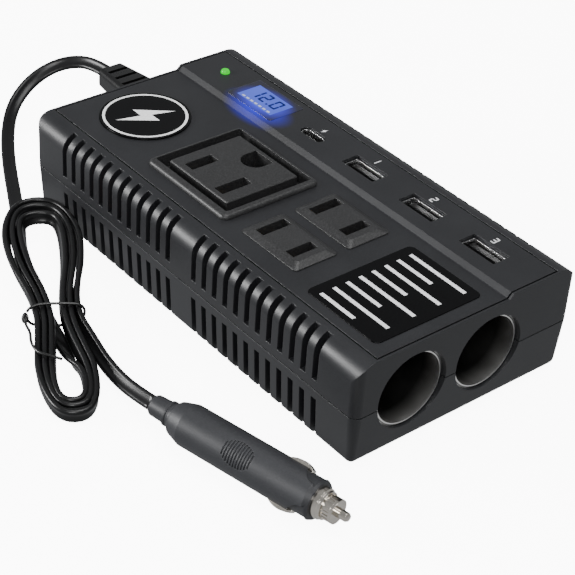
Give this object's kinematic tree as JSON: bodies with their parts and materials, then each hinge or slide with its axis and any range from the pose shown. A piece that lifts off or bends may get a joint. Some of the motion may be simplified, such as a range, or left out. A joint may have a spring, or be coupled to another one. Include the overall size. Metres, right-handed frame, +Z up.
{
  "type": "power inverter",
  "caption": "Compact power inverter: flat vented case with mains outlets, USB ports, display and 12 V sockets, and a flat lead that ends in a 12 V plug.",
  "frame": {"origin": "on the floor under the middle of the case", "axes": "+X towards the raised port strip, +Y towards the back where the lead comes out, +Z up"},
  "size_m": [0.1281, 0.2122, 0.0363],
  "materials": {
    "case_shell": "fine matte grain",
    "foot_rubber": "matte",
    "screw_steel": "blackened steel",
    "outlet_plastic": "satin grain",
    "contact_brass": "plain brass",
    "port_steel": "bright nickel",
    "port_plastic": "black nylon",
    "board_green": "solder mask",
    "window_black": "smoked and glossy",
    "lcd_glow": "lit display",
    "led_green": "lit green lens",
    "badge_black": "glossy",
    "badge_white": "printed white ring",
    "socket_nickel": "nickel plate",
    "insulator": "moulded phenolic",
    "ferrite": "sintered ferrite",
    "winding_tape": "yellow tape",
    "can_sleeve": "shrink sleeve",
    "package_black": "moulded epoxy",
    "sink_aluminium": "extruded",
    "fuse_orange": "translucent orange",
    "fan_plastic": "moulded",
    "cord_rubber": "matte outside, satin where it is bent",
    "tie_black": "plastic-covered wire",
    "plug_plastic": "satin moulded",
    "plug_chrome": "nickel plate",
    "fuse_glass": "clear",
    "spring_steel": "drawn wire"
  },
  "bodies": {
    "case": {"badge": "badge_black", "badge_ring": "badge_white", "blade_fuses": "fuse_orange", "board_screws": "screw_steel", "bottom_case": "case_shell", "case_screws": "screw_steel", "cord_hank": "cord_rubber", "cord_lead": "cord_rubber", "cord_tail": "cord_rubber", "display_board": "board_green", "fan_frame": "fan_plastic", "filter_choke": "ferrite", "heat_sinks": "sink_aluminium", "info_label": "badge_black", "input_capacitors": "can_sleeve", "lcd_display": "lcd_glow", "lcd_window": "window_black", "main_circuit_board": "board_green", "outlet_2pin_contacts": "contact_brass", "outlet_2pin_left": "outlet_plastic", "outlet_2pin_right": "outlet_plastic", "outlet_3pin_contacts": "contact_brass", "outlet_3pin_face": "outlet_plastic", "outlet_3pin_frame": "outlet_plastic", "output_capacitor": "can_sleeve", "plug_body": "plug_plastic", "plug_fuse": "fuse_glass", "plug_nose_cap": "plug_chrome", "plug_nose_ring": "plug_chrome", "plug_sleeve": "plug_plastic", "plug_tip_spring": "spring_steel", "power_led": "led_green", "power_transistors": "package_black", "rubber_feet": "foot_rubber", "socket_contact_left": "socket_nickel", "socket_contact_right": "socket_nickel", "socket_insulator_left": "insulator", "socket_insulator_right": "insulator", "socket_tube_left": "socket_nickel", "socket_tube_right": "socket_nickel", "strain_relief": "cord_rubber", "top_case": "case_shell", "top_panel": "case_shell", "transformer_core": "ferrite", "transformer_winding": "winding_tape", "twist_tie": "tie_black", "usb_a_shell_1": "port_steel", "usb_a_shell_2": "port_steel", "usb_a_shell_3": "port_steel", "usb_a_tongue_1": "port_plastic", "usb_a_tongue_2": "port_plastic", "usb_a_tongue_3": "port_plastic", "usb_board": "board_green", "usb_c_riser": "port_plastic", "usb_c_shell": "port_steel", "usb_c_tongue": "port_plastic"},
    "fan": {"fan_rotor": "fan_plastic"},
    "plug_tip": {"plug_tip_pin": "plug_chrome"},
    "contact_left": {"plug_contact_left": "plug_chrome"},
    "contact_right": {"plug_contact_right": "plug_chrome"}
  },
  "joints": [
    {"name": "fan_spin", "type": "hinge", "parent": "case", "child": "fan", "pos_m": [-0.0175, 0.066, 0.0166], "axis": [0, 1, 0], "continuous": true},
    {"name": "plug_tip_slide", "type": "slide", "parent": "case", "child": "plug_tip", "axis": [-0.2164, 0.9763, 0], "range_m": [0, 0.002], "stiffness_N_per_m": 500, "springref_m": -0.001},
    {"name": "contact_left_slide", "type": "slide", "parent": "case", "child": "contact_left", "axis": [0.6782, 0.1504, 0.7193], "range_m": [0, 0.0008], "stiffness_N_per_m": 800, "springref_m": -0.0005},
    {"name": "contact_right_slide", "type": "slide", "parent": "case", "child": "contact_right", "axis": [-0.6782, -0.1504, -0.7193], "range_m": [0, 0.0008], "stiffness_N_per_m": 800, "springref_m": -0.0005}
  ]
}
